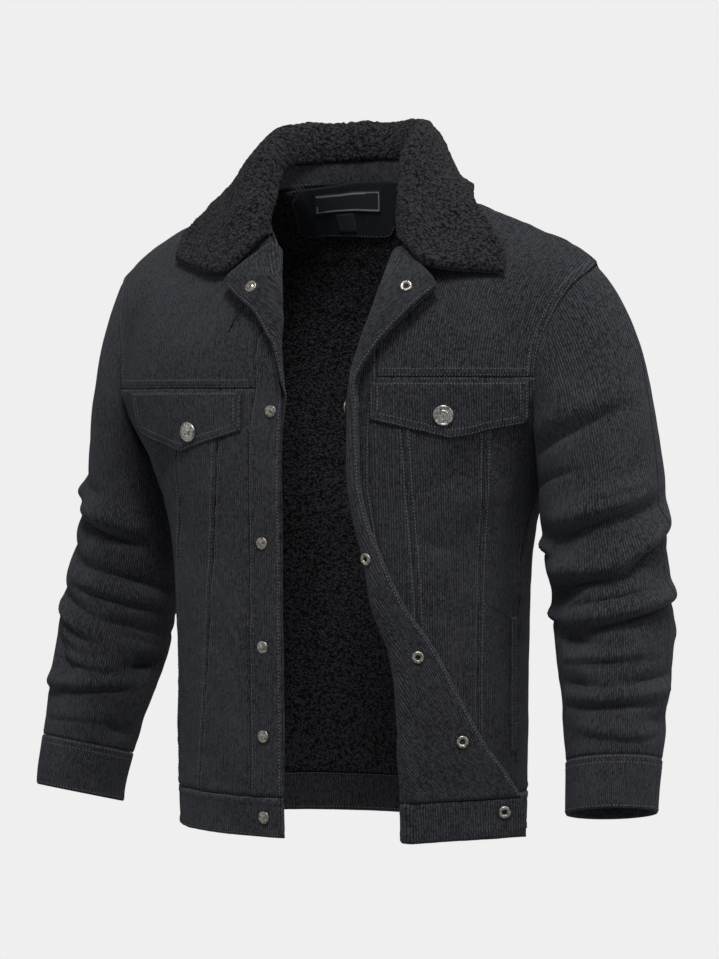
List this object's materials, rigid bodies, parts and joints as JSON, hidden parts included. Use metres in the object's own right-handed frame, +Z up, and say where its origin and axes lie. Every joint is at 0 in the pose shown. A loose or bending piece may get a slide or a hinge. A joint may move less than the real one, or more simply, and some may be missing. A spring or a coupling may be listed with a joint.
{
  "type": "sherpa lined corduroy jacket",
  "caption": "Waist-length corduroy jacket with a turned-down pile collar, pile lining, flap pockets, snap front and set-in sleeves, worn open as on a body.",
  "frame": {"origin": "the base of the neck between the shoulders, where the wearer holds the jacket up", "axes": "+Z up, -Y the way the front faces, +X to the wearer's left"},
  "size_m": [0.6807, 0.2825, 0.7093],
  "materials": {
    "corduroy": "fine-wale corduroy, soft matt",
    "facing_corduroy": "fine-wale corduroy, soft matt",
    "sherpa": "curly pile, matt",
    "snap_metal": "antique, satin",
    "button_metal": "antique silver, satin",
    "label": "plain woven tape"
  },
  "bodies": {
    "root": {"right_front_yoke": "corduroy", "right_placket": "corduroy", "right_front_centre_panel": "corduroy", "right_front_middle_panel": "corduroy", "right_front_side_panel": "corduroy", "right_facing": "facing_corduroy", "lining_right_front": "sherpa", "right_hem_band": "corduroy", "right_pocket_flap": "corduroy", "right_flap_button": "button_metal", "right_pocket_welt": "corduroy", "right_snap_stud_1": "snap_metal", "right_snap_stud_2": "snap_metal", "right_snap_stud_3": "snap_metal", "right_snap_stud_4": "snap_metal", "right_snap_stud_5": "snap_metal", "right_snap_stud_6": "snap_metal", "left_front_yoke": "corduroy", "left_placket": "corduroy", "left_front_centre_panel": "corduroy", "left_front_middle_panel": "corduroy", "left_front_side_panel": "corduroy", "left_facing": "facing_corduroy", "lining_left_front": "sherpa", "left_hem_band": "corduroy", "left_pocket_flap": "corduroy", "left_flap_button": "button_metal", "left_pocket_welt": "corduroy", "left_snap_socket_1": "snap_metal", "left_snap_socket_2": "snap_metal", "left_snap_socket_3": "snap_metal", "left_snap_socket_4": "snap_metal", "left_snap_socket_5": "snap_metal", "left_snap_socket_6": "snap_metal", "back_panel": "corduroy", "lining_back": "sherpa", "back_hem_band": "corduroy", "neck_facing": "facing_corduroy", "neck_label": "label", "size_tab": "label", "right_sleeve": "corduroy", "right_cuff": "corduroy", "left_sleeve": "corduroy", "left_cuff": "corduroy", "collar_stand": "corduroy", "collar": "sherpa", "under_collar": "corduroy"}
  },
  "joints": []
}
